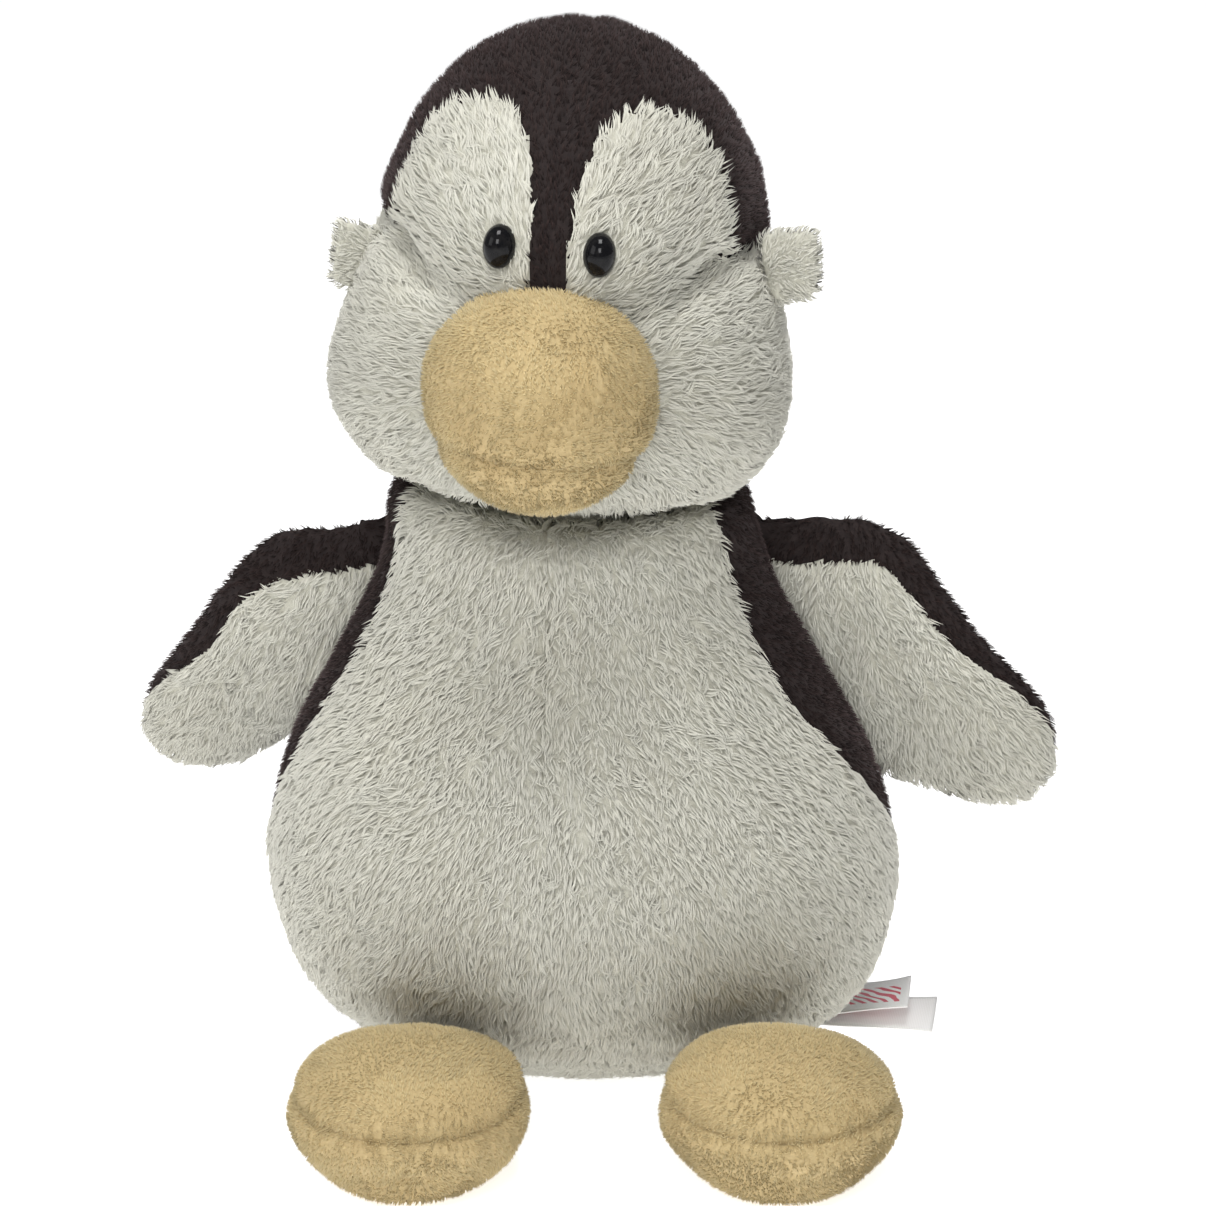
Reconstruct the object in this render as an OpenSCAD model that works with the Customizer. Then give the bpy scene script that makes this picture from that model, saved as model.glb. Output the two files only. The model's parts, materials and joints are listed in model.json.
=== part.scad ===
// Sitting plush penguin, millimetres. The penguin looks along -Y, +Z is up and its own left is +X.
// The origin is the centre of the flat face that it sits on.

/* [Body] */
// Height of the head centre above the seat; the crown is skull_h above it
head_z = 197; // [190:1:204]
// Half of the body's width at its widest level
body_w = 69.5; // [62:0.5:74]
// Half of the body's depth at its widest level
body_d = 58; // [50:1:62]
// Height of the body's widest level
waist_z = 55; // [50:1:60]
// Half of the body's width at the neck
neck_w = 41; // [38:1:44]
// Half of the body's depth at the neck
neck_d = 36; // [33:1:38]
// Sideways lean of the body, in millimetres of travel per millimetre of height
lean = 0.04; // [0:0.01:0.05]
// Turn of the belly panel towards the penguin's right, in degrees
belly_turn = 7; // [0:1:8]

/* [Head] */
// Half of the skull's width
skull_w = 44; // [42:1:46]
// Half of the skull's depth
skull_d = 49; // [46:1:51]
// Height of the crown above the head centre
skull_h = 50.5; // [49:0.5:53]
// How far the jowls stand out below the skull
jowl = 12; // [8:1:13]
// How far each cheek pouch stands out in front
cheek = 4; // [2:1:6]
// Turn of the head towards the penguin's right, in degrees
head_turn = 6; // [0:1:10]
// Tilt of the head towards the penguin's left, in degrees
head_tilt = 4; // [0:1:6]

/* [Beak] */
// Half of the beak's width
beak_w = 25.5; // [22:0.5:27]
// How far the beak stands out in front of its widest section
beak_l = 27; // [22:1:29]
// Height of the beak above its widest level
beak_up = 22; // [18:0.5:22]
// Depth of the beak below its widest level, chin side
beak_down = 28; // [24:1:29]

/* [Eyes] */
// Width of an eye
eye_w = 7; // [6:0.5:8]
// Height of an eye
eye_h = 9.5; // [8:0.5:10]
// Diameter of the shank that goes through the fabric
shank_d = 3; // [2.5:0.5:4]

/* [Wings] */
// Length of a wing from its seam to its tip
wing_l = 68; // [60:1:70]
// Half of the wing's width at its widest section
wing_w = 19; // [16:0.5:21]
// Half of the wing's thickness
wing_t = 11; // [8:0.5:12]

/* [Feet] */
// Half of a foot's width
foot_w = 26; // [22:1:26]
// Half of a foot's length
foot_l = 31; // [28:1:32]
// Height of a foot
foot_h = 35; // [30:1:36]
// Distance of each foot's centre from the middle plane
foot_x = 40.5; // [38:0.5:42]

/* [Fabric] */
// Thickness of the plush fabric with its pile pressed flat
fabric = 2; // [1.5:0.1:2.4]
// Clearance between pieces that don't touch
gap = 0.3; // [0.2:0.1:0.4]

/* [Hidden] */

cream = [0.86, 0.85, 0.78];
brown = [0.29, 0.22, 0.22];
yellow = [0.90, 0.79, 0.54];
fibre = [0.95, 0.95, 0.93];

body_y = -20;                    // the body's axis lies this far in front of the seat's centre
head_centre = [-5, body_y - 6, head_z];
neck_r = 61;                     // the head's underside is part of a ball of this radius
dish_r = neck_r + 3;             // and the body's top is a dish round the same centre
neck_angle = 37.5;               // the neck opening, as an angle from straight down
base_span = waist_z + 3;         // the base would reach 3 mm below the floor if it weren't flat
knee = 0.4;                      // share of a panel's height that lies below the widest level
flat_h = 0.092;                  // share at which the flat seat ends
seam_share = 0.02;               // share by which a face panel is drawn in from its seams
slack = 1;                       // space between the stuffing and the fabric's inner face
under = fabric + slack;
bag_r = 23;
bag_y = -4;
bag_low = fabric + 0.8;
bag_top = 24;
bag_wall = 0.8;
segments = 48;

// ---- general functions ----

function mix(a, b, t) = a + (b - a) * t;
function unit(v) = v / norm(v);
function clamp(t) = min(max(t, 0), 1);
function smooth(t) = let (c = clamp(t)) c * c * (3 - 2 * c);

// A smooth curve through a short list of points, with t from 0 to 1
function curve(points, t) =
    let (
        n = len(points) - 1,
        i = min(floor(t * n), n - 1),
        f = t * n - i,
        a = points[max(i - 1, 0)],
        b = points[i],
        c = points[i + 1],
        d = points[min(i + 2, n)]
    )
    b + f * (c - a) / 2 + f * f * (a - 2.5 * b + 2 * c - d / 2) + f * f * f * (3 * b - a - 3 * c + d) / 2;

// Points of a grid: f(u, v, depth) with u and v from 0 to 1
function grid(f, nu, nv, depth) = [for (j = [0 : nv]) for (i = [0 : nu]) f(i / nu, j / nv, depth)];

function quad(a, b, c, d) = [[a, b, c], [a, c, d]];

// Faces of a panel with thickness: outer grid, inner grid and four walls
function panel_faces(nu, nv) =
    let (
        w = nu + 1,
        total = w * (nv + 1),
        outer = [for (j = [0 : nv - 1]) for (i = [0 : nu - 1])
            each quad(j * w + i, (j + 1) * w + i, (j + 1) * w + i + 1, j * w + i + 1)],
        rim = concat(
            [for (i = [0 : nu - 1]) i],
            [for (j = [0 : nv - 1]) j * w + nu],
            [for (i = [nu : -1 : 1]) nv * w + i],
            [for (j = [nv : -1 : 1]) j * w]
        ),
        n = len(rim)
    )
    concat(
        outer,
        [for (t = outer) [t[2] + total, t[1] + total, t[0] + total]],
        [for (k = [0 : n - 1]) each
            quad(rim[k], rim[(k + 1) % n], rim[(k + 1) % n] + total, rim[k] + total)]
    );

// A panel of fabric: f gives its outer face at depth 0
module panel(f, nu, nv) {
    polyhedron(points = concat(grid(f, nu, nv, 0), grid(f, nu, nv, fabric)), faces = panel_faces(nu, nv));
}

// Rings of points, closed round in u; first and last ring are closed by a point each when given
function ring_faces(nu, rows, from) =
    [for (j = [0 : rows - 2]) for (i = [0 : nu - 1])
        each quad(from + j * nu + i, from + (j + 1) * nu + i,
                  from + (j + 1) * nu + (i + 1) % nu, from + j * nu + (i + 1) % nu)];

function fan(nu, from, tip, flip) =
    [for (i = [0 : nu - 1]) flip ? [from + (i + 1) % nu, from + i, tip] : [from + i, from + (i + 1) % nu, tip]];

function turned(faces) = [for (t = faces) [t[2], t[1], t[0]]];

// A solid made of a stack of rings, low ring first, closed by a point below and a point above
module stack(rings, low, high) {
    nu = len(rings[0]);
    rows = len(rings);
    points = concat([for (r = rings) each r], [low, high]);
    polyhedron(
        points = points,
        faces = concat(
            ring_faces(nu, rows, 0),
            fan(nu, 0, nu * rows, false),
            fan(nu, nu * (rows - 1), nu * rows + 1, true)
        )
    );
}

// A cap of fabric: a stack of rings on each side of the cloth, open at the first ring
module cap(outer, outer_tip, inner, inner_tip) {
    nu = len(outer[0]);
    rows = len(outer);
    inside = nu * rows + 1;
    points = concat([for (r = outer) each r], [outer_tip], [for (r = inner) each r], [inner_tip]);
    polyhedron(
        points = points,
        faces = concat(
            ring_faces(nu, rows, 0),
            fan(nu, nu * (rows - 1), nu * rows, true),
            turned(ring_faces(nu, rows, inside)),
            turned(fan(nu, inside + nu * (rows - 1), inside + nu * rows, true)),
            [for (i = [0 : nu - 1]) each
                quad(i, (i + 1) % nu, inside + (i + 1) % nu, inside + i)]
        )
    );
}

// A band of fabric between two closed edges
module band(outer, inner) {
    nu = len(outer[0]);
    rows = len(outer);
    inside = nu * rows;
    last = nu * (rows - 1);
    polyhedron(
        points = concat([for (r = outer) each r], [for (r = inner) each r]),
        faces = concat(
            ring_faces(nu, rows, 0),
            turned(ring_faces(nu, rows, inside)),
            [for (i = [0 : nu - 1]) each
                quad(i, (i + 1) % nu, inside + (i + 1) % nu, inside + i)],
            [for (i = [0 : nu - 1]) each
                quad(last + (i + 1) % nu, last + i, inside + last + i, inside + last + (i + 1) % nu)]
        )
    );
}

// ---- body ----

// Height of the dish at a point of the plan
function dish_height(p) = head_z - sqrt(dish_r ^ 2 - (p.x - head_centre.x) ^ 2 - (p.y - head_centre.y) ^ 2);

// A point below the widest level: az is the bearing from the front, h runs from 0 to knee
function base_point(az, h, depth) =
    let (
        th = 90 * clamp(h / knee),
        side = sin(th) ^ 0.8,
        drop = cos(th) ^ 0.8,
        belly = (1 - drop ^ 1.8) ^ (1 / 1.8),
        deep = (body_d - depth) * (cos(az) > 0 ? belly : side),
        z = max(waist_z - (base_span - depth) * drop, depth),
        back = 12 * (1 - clamp(z / 50)) ^ 2
    )
    [(body_w - depth) * side * sin(az) - lean * z, body_y + back - deep * cos(az), z];

// A point above it: s runs from 0 to 1 at the rim of the dish
function chest_point(az, s, depth) =
    let (
        swell = (1 + cos(180 * s)) / 2,
        rim = 5 * (1 - sqrt(1 - clamp((s - 0.93) / 0.07) ^ 2)),
        w = mix(neck_w, body_w, swell) - depth - rim,
        d = mix(neck_d, body_d, swell) - depth - rim,
        edge = [(neck_w - 5 - depth) * sin(az) - lean * 146, body_y - (neck_d - 5 - depth) * cos(az)],
        z = mix(waist_z, dish_height(edge), s)
    )
    [w * sin(az) - lean * z, body_y - d * cos(az), z];

function body_point(az, h, depth) =
    h < knee ? base_point(az, h, depth) : chest_point(az, (h - knee) / (1 - knee), depth);

// Level of the seam between the seat and the panels above it: high in front, low at the back
function seat_level(az) = mix(0.19, 0.255, (1 + cos(az)) / 2);

// Bearing of the seam between the belly and the back at level h
side_seam = [116, 105, 94, 83, 72, 65, 62, 62, 62];
function seam_bearing(h) = curve(side_seam, clamp((h - 0.2) / 0.8));

// Bearing on the fabric after the belly panel's turn
function turn_at(h) = belly_turn * smooth((h - knee) / 0.3);

function level(az, v) = mix(seat_level(az) + 0.006, 1, v);

// side is 1 for the penguin's left and -1 for its right
function belly_point(side, u, v, depth) =
    let (
        h0 = level(0, v),
        az0 = mix(0.3, seam_bearing(h0) - 0.4, u),
        h = level(az0, v)
    )
    body_point(side * az0 - turn_at(h), h, depth);

function back_point(side, u, v, depth) =
    let (
        h0 = level(0, v),
        az0 = mix(seam_bearing(h0) + 0.4, 179.7, u),
        h = level(az0, v),
        slide = turn_at(h) * smooth((180 - az0) / 90)
    )
    body_point(side * az0 - slide, h, depth);

module belly_panel(side) {
    color(cream) panel(function (u, v, d) belly_point(side, side > 0 ? u : 1 - u, v, d), 9, 16);
}

module back_panel(side) {
    color(brown) panel(function (u, v, d) back_point(side, side > 0 ? u : 1 - u, v, d), 10, 16);
}

function seat_ring(v, depth) =
    [for (i = [0 : segments - 1])
        let (az = 360 * i / segments)
        body_point(az, mix(flat_h + 0.002, seat_level(az) - 0.004, v), depth)];

module seat_panel() {
    color(cream) {
        linear_extrude(fabric)
            polygon([for (i = [0 : segments - 1])
                let (p = body_point(360 * i / segments, flat_h - 0.002, 0)) [p.x, p.y]]);
        band([for (j = [0 : 4]) seat_ring(j / 4, 0)], [for (j = [0 : 4]) seat_ring(j / 4, fabric)]);
    }
}

module body_stuffing() {
    start = knee * acos(((waist_z - bag_top - slack) / (base_span - under)) ^ 1.25) / 90;
    sides = [for (j = [0 : 12]) [for (i = [0 : segments - 1])
        body_point(360 * i / segments, mix(start, 1, j / 12), under)]];
    rim = sides[12];
    dish = [for (j = [1 : 5]) [for (p = rim)
        let (q = mix([p.x, p.y], [head_centre.x, head_centre.y], j / 6)) [q.x, q.y, dish_height(q)]]];
    low = sides[0][0];
    color(fibre)
        stack(concat(sides, dish), [-lean * low.z, body_y, low.z],
              [head_centre.x, head_centre.y, head_z - dish_r]);
}

// Half of the bag's section, drawn in by inset on every side
module bag_section(inset) {
    corner = 9;
    low = bag_low + inset;
    high = bag_top - inset;
    side = bag_r - inset;
    hull() {
        translate([0, low]) square([1, high - low]);
        translate([side - corner, low + corner]) circle(corner, $fn = 32);
        translate([side - corner, high - corner]) circle(corner, $fn = 32);
    }
}

module pellet_bag() {
    color("linen") translate([0, bag_y, 0])
        rotate_extrude($fn = 48) difference() {
            bag_section(0);
            bag_section(bag_wall);
        }
}

module pellet_fill() {
    color("white") translate([0, bag_y, 0])
        rotate_extrude($fn = 48) bag_section(bag_wall + gap);
}

module neck_stuffing() {
    color(fibre)
        translate(head_centre)
            intersection() {
                difference() {
                    sphere(neck_r + 2.6, $fn = 96);
                    sphere(neck_r + 0.4, $fn = 96);
                }
                translate([0, 0, -70]) cylinder(h = 40, r = 25, $fn = 96);
            }
}

// ---- head ----

// Direction from the head centre: az from the front towards +X, el above the level
function aim(az, el) = [cos(el) * sin(az), -cos(el) * cos(az), sin(el)];

beak_aim = aim(0, -21);
function off_axis(d, axis) = acos(clamp(unit(d) * axis));

function head_radius(d) =
    let (
        u = unit(d),
        el = asin(u.z),
        az = abs(atan2(u.x, -u.y)),
        skull = 1 / norm([u.x / skull_w, u.y / skull_d, u.z / skull_h]),
        jaw = jowl * smooth((2 - el) / 45) * (0.5 + 0.5 * sin(az) ^ 2),
        pouch = cheek * exp(-((az - 58) ^ 2 + (el + 24) ^ 2) / 800)
    )
    mix(neck_r, skull + jaw + pouch, smooth((90 + el - 37.5) / 5));

function head_point(d, depth) = (head_radius(d) - depth) * unit(d);

// The stuffing's depth below the fabric: it gives way behind the beak and the eyes
function stuffing_depth(d) =
    mix(0.4, under, smooth((off_axis(d, [0, 0, -1]) - 34) / 2.5))
    + 11 * smooth((37.5 - off_axis(d, beak_aim)) / 10);

// A patch between four curves of directions that meet at the corners
function blend_edges(bottom, top, left, right, u, v) =
    (1 - v) * bottom(u) + v * top(u) + (1 - u) * left(v) + u * right(v)
    - (1 - u) * (1 - v) * bottom(0) - u * (1 - v) * bottom(1) - (1 - u) * v * top(0) - u * v * top(1);

// The beak's opening in the face; clock is 0 at the top
function beak_ring(clock) = aim(31 * sin(clock), -23.5 + 25 * cos(clock));

function aim_curve(points, t) = let (p = curve(points, t)) aim(p.x, p.y);

// Seam points as [az, el]
inner_eye_seam = [[4.4, 1.3], [4.8, 10], [5.6, 20], [8, 30], [13, 39], [21, 45], [30, 46.5]];
outer_eye_seam = [[58, 5.5], [55.5, 15], [55.5, 25], [54.5, 34], [50, 41], [41, 45.5], [31, 46.5]];
fold_seam = [[23.8, -7.5], [30, -3.5], [40, 0], [49, 3], [58, 5.5]];
temple_seam = [[59, 5.4], [72, 6], [86, 4], [98, 0]];
nape_seam = [[99, 0], [105, -15], [108, -32], [108, -52]];

function inward(d, towards, share) = unit(mix(unit(d), unit(towards), share));

module head_panel(bottom, top, left, right, nu, nv, side, share = seam_share) {
    middle = unit(blend_edges(bottom, top, left, right, 0.5, 0.5));
    panel(
        function (u, v, depth)
            let (d = inward(blend_edges(bottom, top, left, right, side > 0 ? u : 1 - u, v), middle, share))
            head_point([side * d.x, d.y, d.z], depth),
        nu, nv
    );
}

module posed_head() {
    translate(head_centre) rotate([0, head_tilt, -head_turn]) children();
}

module eye_patch(side) {
    color(cream) posed_head() difference() {
        head_panel(
            bottom = function (t) t < 0.35 ? beak_ring(8.2 + (50.2 - 8.2) * t / 0.35)
                                           : aim_curve(fold_seam, (t - 0.35) / 0.65),
            top = function (t) aim(mix(30, 31, t), 46.5),
            left = function (t) aim_curve(inner_eye_seam, t),
            right = function (t) aim_curve(outer_eye_seam, t),
            nu = 10, nv = 12, side = side
        );
        eye_frame(side) translate([0, 0, -8]) cylinder(h = 16, d = shank_d + 0.2, $fn = 24);
    }
}

module cheek_panel(side) {
    color(cream) posed_head()
        head_panel(
            bottom = function (t) aim(mix(0.6, 108, t), -52),
            top = function (t) t < 0.5 ? aim_curve(fold_seam, t / 0.5) : aim_curve(temple_seam, (t - 0.5) / 0.5),
            left = function (t) t < 0.08 ? aim(0.6, mix(-52, -48.5, t / 0.08)) : beak_ring(mix(178.8, 50.2, (t - 0.08) / 0.92)),
            right = function (t) aim_curve(nape_seam, 1 - t),
            nu = 14, nv = 12, side = side
        );
}

module crown(side) {
    color(brown) posed_head()
        head_panel(
            bottom = function (t) t < 0.28 ? aim_curve(inner_eye_seam, t / 0.28)
                : t < 0.56 ? aim_curve(outer_eye_seam, 1 - (t - 0.28) / 0.28)
                : t < 0.76 ? aim_curve(temple_seam, (t - 0.56) / 0.2)
                : aim_curve(nape_seam, (t - 0.76) / 0.24),
            top = function (t) aim(0.6, mix(1.3, 180 + 52, t)),
            left = function (t) beak_ring(mix(8.2, 1, t)),
            right = function (t) aim(mix(108, 179.4, t), -52),
            nu = 30, nv = 8, side = side, share = 0
        );
}

module cheek_tuft(side) {
    color(cream) posed_head()
        translate([side * 42.2, -13, 0])
            rotate([0, side * -8, side * -12])
                rotate([90, 0, 0])
                    linear_extrude(3.2, center = true)
                        mirror([side < 0 ? 1 : 0, 0])
                            hull() {
                                translate([5.5, -7]) circle(2, $fn = 24);
                                translate([11.5, -6]) circle(2.5, $fn = 24);
                                translate([12.5, 4]) circle(2.5, $fn = 24);
                                translate([4, 4]) circle(2, $fn = 24);
                            }
}

module head_stuffing() {
    rows = 20;
    rings = [for (j = [1 : rows - 1]) [for (i = [0 : segments - 1])
        let (d = aim(360 * i / segments, -90 + 180 * j / rows)) head_point(d, stuffing_depth(d))]];
    color(fibre) posed_head()
        stack(rings, head_point([0, 0, -1], 0.4), head_point([0, 0, 1], under));
}

// The frame of an eye: its Z axis points out of the face
module eye_frame(side) {
    d = aim(side * 12.5, 8);
    translate(head_radius(d) * d) rotate([0, 0, side * 12.5]) rotate([82, 0, 0]) children();
}

module eye(side) {
    color("black") posed_head() eye_frame(side) {
        translate([0, 0, 0.3]) intersection() {
            scale([eye_w / eye_h, 1, 0.9]) sphere(d = eye_h, $fn = 48);
            translate([-10, -10, 0]) cube(20);
        }
        translate([0, 0, -6.2]) cylinder(h = 6.5, d = shank_d, $fn = 32);
    }
}

module eye_washer(side) {
    color("white") posed_head() eye_frame(side)
        translate([0, 0, -5])
            difference() {
                cylinder(h = 1.4, d = 9, $fn = 48);
                translate([0, 0, -1]) cylinder(h = 4, d = shank_d, $fn = 32);
            }
}

// ---- beak ----

beak_centre = [0, -47, -22];
beak_side = 96;                  // the beak's shell reaches this far round from its tip
mouth = -29;                     // latitude of the mouth line, in degrees

function beak_point(lon, lat, depth) =
    beak_centre + [
        (beak_w - depth) * cos(lat) ^ 0.9 * sin(lon),
        -(beak_l - depth) * cos(lat) ^ 0.9 * cos(lon),
        ((lat > 0 ? beak_up : beak_down) - depth) * sin(lat)
    ];

module beak_upper() {
    color(yellow) posed_head()
        panel(function (u, v, d)
            beak_point(mix(-beak_side, beak_side, u), mix(mouth + 0.6, 86, v), d), 18, 10);
}

module beak_lower() {
    color(yellow) posed_head()
        panel(function (u, v, d)
            beak_point(mix(-beak_side, beak_side, u), mix(-86, mouth - 0.6, v), d), 18, 6);
}

module beak_stuffing() {
    rings = [for (j = [-5 : 5]) [for (i = [0 : 16])
        beak_point(mix(-beak_side, beak_side, i / 16), j * 15, under)]];
    color(fibre) posed_head()
        stack(rings, beak_centre + [0, -1, under - beak_down], beak_centre + [0, -1, beak_up - under]);
}

// ---- wings ----

// Top and bottom of the line where a wing is sewn to the body, for the left wing
wing_root_top = [47.6, body_y + 14, 134];
wing_root_low = [67.1, body_y + 14, 86];
wing_edge = 5;                   // radius of the wing's edge round its seam

// The way each wing hangs: the left one out and a little forward, the right one swept back
function wing_way(side) = unit(side > 0 ? [48, -6, -40] : [36, 25, -38]);

function wing_width(s) = mix(24, wing_w, smooth(s / 0.45)) * sqrt(1 - clamp((s - 0.62) / 0.38) ^ 2.4);
function wing_thick(s) =
    mix(wing_edge, wing_t, smooth(s / 0.35)) * sqrt(1 - clamp((s - 0.6) / 0.4) ^ 2)
    * sqrt(1 - clamp((0.06 - s) / 0.062) ^ 2);

// A section of a wing at s from 0, its seam, to 1, its tip; psi is 0 at the upper edge.
// The right wing is made on the left and mirrored
function wing_point(side, s, psi, depth) =
    let (
        root = mix(wing_root_low, wing_root_top, 0.5),
        along = wing_way(side),
        seam_dir = unit(wing_root_top - wing_root_low),
        across = unit(cross([0, -1, 0], along)),
        up = unit(mix(seam_dir, across, smooth(s / 0.5))),
        tilt = 25 * smooth(s / 0.5),
        front = unit(cross(along, up)),
        major = up * cos(tilt) + front * sin(tilt),
        minor = front * cos(tilt) - up * sin(tilt),
        centre = root + along * (wing_l * s - wing_edge * (1 - s))
    )
    centre + major * max(wing_width(s) - depth, 0.2) * cos(psi) + minor * max(wing_thick(s) - depth, 0.2) * sin(psi);

// The brown panel wraps over the upper edge to the front
function wing_wrap(s) = 55 * (1 - s);

module wing_side(side) {
    translate([-lean * 110, 0, 0]) mirror([side > 0 ? 0 : 1, 0, 0]) children();
}

module wing_outer(side) {
    color(brown) wing_side(side)
        panel(function (u, v, d)
            wing_point(side, mix(0.012, 0.985, v), mix(-179.5, wing_wrap(v) - 0.5, u), d), 9, 12);
}

module wing_inner(side) {
    color(cream) wing_side(side)
        panel(function (u, v, d)
            wing_point(side, mix(0.012, 0.985, v), mix(wing_wrap(v) + 0.5, 179.5, u), d), 8, 12);
}

module wing_stuffing(side) {
    n = 20;
    rings = [for (j = [0 : 10]) [for (i = [0 : n - 1])
        wing_point(side, mix(0.07, 0.93, j / 10), 360 * i / n, under)]];
    color(fibre) wing_side(side)
        stack(rings, wing_point(side, 0.07, 90, 99), wing_point(side, 0.94, 90, 99));
}

// ---- feet ----

function foot_centre(side) = [side * foot_x, body_y - 67, foot_h / 2];

// A point of a foot: az from its toe, lat from -90 at the sole to 90 on top
function foot_point(side, az, lat, depth) =
    let (
        heel = clamp(-cos(az)),
        round_off = cos(lat) ^ 0.85,
        high = foot_h / 2 * (lat > 0 ? 1 - 0.3 * heel ^ 2 * cos(lat) : 1.06),
        z = (high - depth) * sin(lat)
    )
    foot_centre(side) + [
        (foot_w - depth) * round_off * sin(az),
        -(foot_l + 1 * heel - depth) * round_off * cos(az),
        max(z, depth - foot_h / 2)
    ];

foot_rim = 12;                   // latitude of the seam between a foot's upper and its sole
foot_segments = 28;

function foot_ring(side, lat, depth) =
    [for (i = [0 : foot_segments - 1]) foot_point(side, 360 * i / foot_segments, lat, depth)];

module foot_upper(side) {
    lats = [for (j = [0 : 5]) mix(foot_rim + 0.6, 78, j / 5)];
    color(yellow)
        cap([for (a = lats) foot_ring(side, a, 0)], foot_centre(side) + [0, 0, foot_h / 2],
            [for (a = lats) foot_ring(side, a, fabric)], foot_centre(side) + [0, 0, foot_h / 2 - fabric]);
}

module foot_sole(side) {
    lats = [for (j = [0 : 6]) mix(foot_rim - 0.6, -76, j / 6)];
    color(yellow)
        cap([for (a = lats) foot_ring(side, a, 0)], foot_centre(side) + [0, 0, -foot_h / 2],
            [for (a = lats) foot_ring(side, a, fabric)], foot_centre(side) + [0, 0, fabric - foot_h / 2]);
}

module foot_stuffing(side) {
    color(fibre)
        stack([for (j = [-5 : 5]) foot_ring(side, j * 15, under)],
              foot_centre(side) + [0, 0, under - foot_h / 2], foot_centre(side) + [0, 0, foot_h / 2 - under]);
}

// ---- labels ----

module label_leaf(length, width, rise) {
    color("white")
        translate([48.5, body_y + 22, 8.5])
            rotate([6, rise, -8])
                linear_extrude(0.6)
                    translate([0, -width / 2]) square([length, width]);
}

module name_label() { label_leaf(27, 16, -4); }
module care_label() { translate([0, 0, -1.2]) label_leaf(33, 18, 3); }

seat_panel();
belly_panel(1);  // belly_panel_left
belly_panel(-1);  // belly_panel_right
back_panel(1);  // back_panel_left
back_panel(-1);  // back_panel_right
body_stuffing();
pellet_bag();
pellet_fill();
neck_stuffing();
crown(1);  // crown_left
crown(-1);  // crown_right
eye_patch(1);  // eye_patch_left
eye_patch(-1);  // eye_patch_right
cheek_panel(1);  // cheek_left
cheek_panel(-1);  // cheek_right
cheek_tuft(1);  // cheek_tuft_left
cheek_tuft(-1);  // cheek_tuft_right
head_stuffing();
eye(1);  // eye_left
eye(-1);  // eye_right
eye_washer(1);  // eye_washer_left
eye_washer(-1);  // eye_washer_right
beak_upper();
beak_lower();
beak_stuffing();
wing_outer(1);  // wing_outer_left
wing_inner(1);  // wing_inner_left
wing_stuffing(1);  // wing_stuffing_left
wing_outer(-1);  // wing_outer_right
wing_inner(-1);  // wing_inner_right
wing_stuffing(-1);  // wing_stuffing_right
foot_upper(1);  // foot_upper_left
foot_sole(1);  // foot_sole_left
foot_stuffing(1);  // foot_stuffing_left
foot_upper(-1);  // foot_upper_right
foot_sole(-1);  // foot_sole_right
foot_stuffing(-1);  // foot_stuffing_right
name_label();
care_label();
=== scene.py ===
"""Plush penguin: stuffed forms, cloth, pile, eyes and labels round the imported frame, on a pale floor."""

import json
import math

import bmesh
import bpy
import numpy as np
from mathutils import Matrix, Vector, noise
from mathutils.bvhtree import BVHTree
from mathutils.kdtree import KDTree


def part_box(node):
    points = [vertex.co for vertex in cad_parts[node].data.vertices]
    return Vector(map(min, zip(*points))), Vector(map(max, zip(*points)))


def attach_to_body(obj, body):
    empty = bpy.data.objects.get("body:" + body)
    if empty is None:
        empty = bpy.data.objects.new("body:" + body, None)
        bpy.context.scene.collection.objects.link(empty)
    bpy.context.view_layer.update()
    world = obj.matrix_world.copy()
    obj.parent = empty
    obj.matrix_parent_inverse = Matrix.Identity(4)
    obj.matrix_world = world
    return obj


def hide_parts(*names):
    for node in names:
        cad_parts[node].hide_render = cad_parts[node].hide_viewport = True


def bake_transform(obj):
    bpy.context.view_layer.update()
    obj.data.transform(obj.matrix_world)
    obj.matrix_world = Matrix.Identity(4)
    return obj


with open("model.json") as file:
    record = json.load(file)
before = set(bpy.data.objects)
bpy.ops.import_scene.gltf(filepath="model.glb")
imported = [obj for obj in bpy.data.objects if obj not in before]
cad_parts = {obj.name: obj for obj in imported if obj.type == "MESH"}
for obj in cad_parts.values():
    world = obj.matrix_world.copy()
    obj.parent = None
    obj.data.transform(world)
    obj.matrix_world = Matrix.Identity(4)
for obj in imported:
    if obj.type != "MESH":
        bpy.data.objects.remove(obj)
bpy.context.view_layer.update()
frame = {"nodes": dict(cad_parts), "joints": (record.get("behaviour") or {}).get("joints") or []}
nodes = frame["nodes"]
scene = bpy.context.scene

# Places are in metres. The penguin looks along -Y, and its own left is +X.
MM = 0.001
HEAD_CENTRE = np.array([-0.005, -0.026, 0.197])
HEAD_TURN = math.radians(-6)
HEAD_TILT = math.radians(4)
BEAK_FRONT = np.array([0.0, -0.060, -0.023])  # in the head's own frame
BODY_X = -0.003
FOOT_X = 0.0405
FOOT_Y = -0.087
FLOOR_CLEAR = 0.25 * MM
CLOTH_THICKNESS = 1.5 * MM
SHORT_CLOTH_THICKNESS = 1.2 * MM
INFLATING_PRESSURE = 4
INFLATING_FRAMES = 20
SIDES = (("left", 1), ("right", -1))


# ---- camera, floor and light ----


def place_camera():
    """A long lens straight in front of the penguin, fifteen degrees above it."""
    target = Vector((0.0017, -0.020, 0.1132))
    distance = 0.900
    elevation = math.radians(15)
    data = bpy.data.cameras.new("camera")
    data.lens = 117.7
    data.sensor_width = 36
    data.clip_start = 0.05
    camera = bpy.data.objects.new("camera", data)
    back = Vector((0, -math.cos(elevation), math.sin(elevation)))
    camera.location = target + back * distance
    camera.rotation_euler = (math.radians(90) - elevation, 0, 0)
    scene.collection.objects.link(camera)
    scene.camera = camera


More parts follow.
